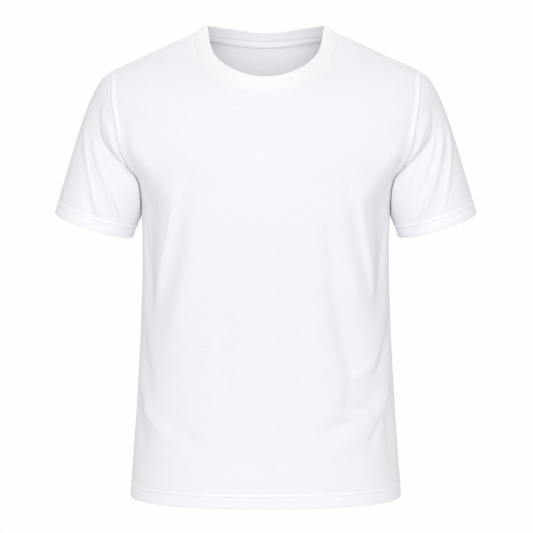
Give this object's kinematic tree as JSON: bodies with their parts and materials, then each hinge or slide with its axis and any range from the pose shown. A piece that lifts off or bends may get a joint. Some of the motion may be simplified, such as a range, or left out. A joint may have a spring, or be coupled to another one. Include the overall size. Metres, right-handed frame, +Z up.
{
  "type": "crew neck t-shirt",
  "caption": "White short-sleeved crew neck t-shirt in cotton jersey, filled out and hollow, with a rib collar and turned-up hems.",
  "frame": {"origin": "middle of the neck opening, level with the tops of the shoulders where the collar meets the shoulder seams", "axes": "+Z up the garment from hem to neck, +X to the wearer's left, -Y out of the front"},
  "size_m": [0.6442, 0.2481, 0.719],
  "materials": {
    "jersey": "white cotton single jersey, matt, with a faint stripe of uneven yarn",
    "rib": "white cotton 1 by 1 rib, folded double, matt",
    "tape": "white cotton twill tape, matt"
  },
  "bodies": {
    "root": {"front_panel": "jersey", "back_panel": "jersey", "sleeve_left": "jersey", "sleeve_right": "jersey", "collar": "rib", "neck_tape": "tape"}
  },
  "joints": []
}
